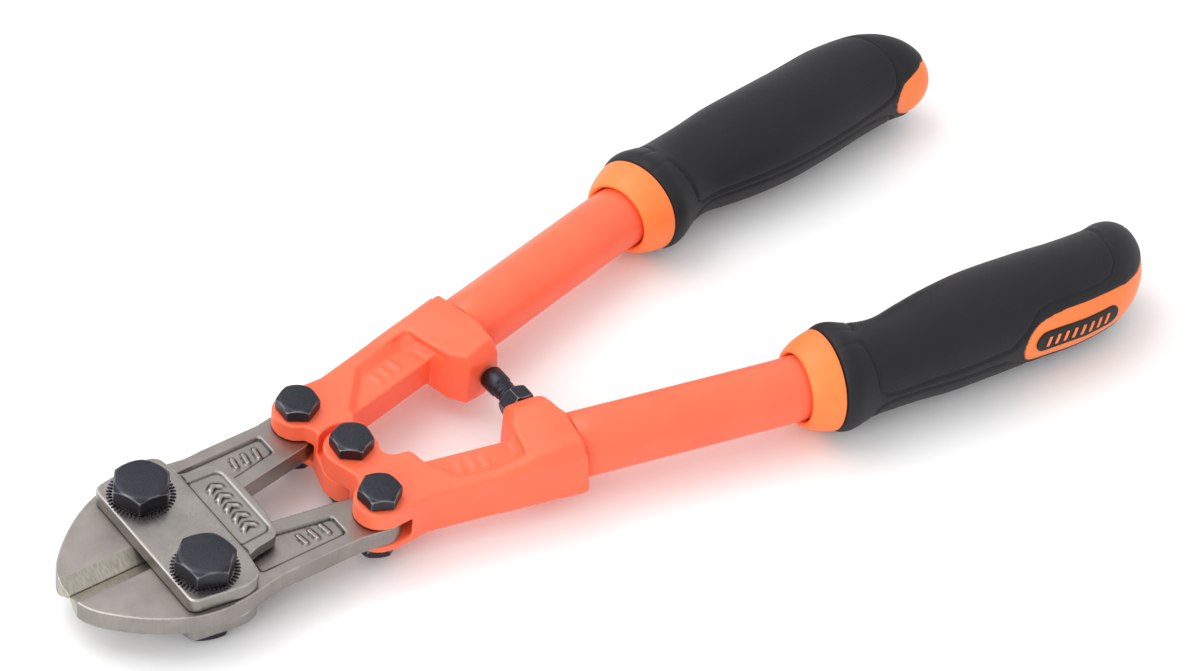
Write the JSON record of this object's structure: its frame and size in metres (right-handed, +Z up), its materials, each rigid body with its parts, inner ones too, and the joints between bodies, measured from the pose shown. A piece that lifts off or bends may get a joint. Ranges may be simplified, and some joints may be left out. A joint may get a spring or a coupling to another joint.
{
  "type": "bolt cutters",
  "caption": "Small compound-action bolt cutters, closed and lying flat: forged jaws between straps, orange handle heads and tubes, bent rubber grips.",
  "frame": {"origin": "bottom centre of the bounding box, tool closed and lying flat on its jaw bolts and grips", "axes": "+X from the jaws to the grips, +Y towards the right-hand handle, +Z up"},
  "size_m": [0.2986, 0.1198, 0.0282],
  "materials": {
    "strap_steel": "satin ground plate",
    "jaw_steel": "ground and tumbled forging",
    "black_oxide": "black oxide bolts and nuts",
    "powder_coat": "satin orange powder coat",
    "grip_plastic": "moulded",
    "grip_rubber": "soft matt"
  },
  "bodies": {
    "straps": {"strap_upper": "strap_steel", "strap_lower": "strap_steel", "jaw_bolt_right": "black_oxide", "jaw_bolt_left": "black_oxide", "jaw_nut_right": "black_oxide", "jaw_nut_left": "black_oxide"},
    "jaw_right": {"jaw_right": "jaw_steel"},
    "jaw_left": {"jaw_left": "jaw_steel"},
    "handle_right": {"head_right": "powder_coat", "tail_bolt_right": "black_oxide", "tail_nut_right": "black_oxide", "tube_right": "powder_coat", "grip_core_right": "grip_plastic", "grip_rubber_right": "grip_rubber"},
    "handle_left": {"head_left": "powder_coat", "tail_bolt_left": "black_oxide", "tail_nut_left": "black_oxide", "tube_left": "powder_coat", "grip_core_left": "grip_plastic", "grip_rubber_left": "grip_rubber", "centre_bolt": "black_oxide", "centre_nut": "black_oxide"},
    "stop_screw": {"stop_screw": "black_oxide"},
    "stop_locknut": {"stop_locknut": "black_oxide"}
  },
  "joints": [
    {"name": "centre_hinge", "type": "hinge", "parent": "handle_right", "child": "handle_left", "pos_m": [-0.07153, 0, 0.0119], "axis": [0, 0, -1], "range_deg": [0, 90]},
    {"name": "jaw_hinge_right", "type": "hinge", "parent": "straps", "child": "jaw_right", "pos_m": [-0.12183, 0.01375, 0.0119], "axis": [0, 0, -1], "range_deg": [0, 8.7]},
    {"name": "jaw_hinge_left", "type": "hinge", "parent": "straps", "child": "jaw_left", "pos_m": [-0.12183, -0.01375, 0.0119], "axis": [0, 0, 1], "range_deg": [0, 8.7]},
    {"name": "tail_hinge_right", "type": "hinge", "parent": "jaw_right", "child": "handle_right", "pos_m": [-0.07543, 0.0173, 0.0119], "axis": [0, 0, 1], "range_deg": [0, 53.7]},
    {"name": "stop_screw_slide", "type": "slide", "parent": "handle_left", "child": "stop_screw", "axis": [0, -1, 0], "range_m": [0, 0.002]},
    {"name": "stop_locknut_spin", "type": "hinge", "parent": "handle_left", "child": "stop_locknut", "pos_m": [-0.02483, -0.005, 0.0141], "axis": [0, 1, 0], "continuous": true}
  ],
  "couplings": [
    {"joint": "jaw_hinge_right", "follows": "centre_hinge", "ratio": 0.0965},
    {"joint": "jaw_hinge_left", "follows": "centre_hinge", "ratio": 0.0965},
    {"joint": "tail_hinge_right", "follows": "centre_hinge", "ratio": 0.5965}
  ]
}
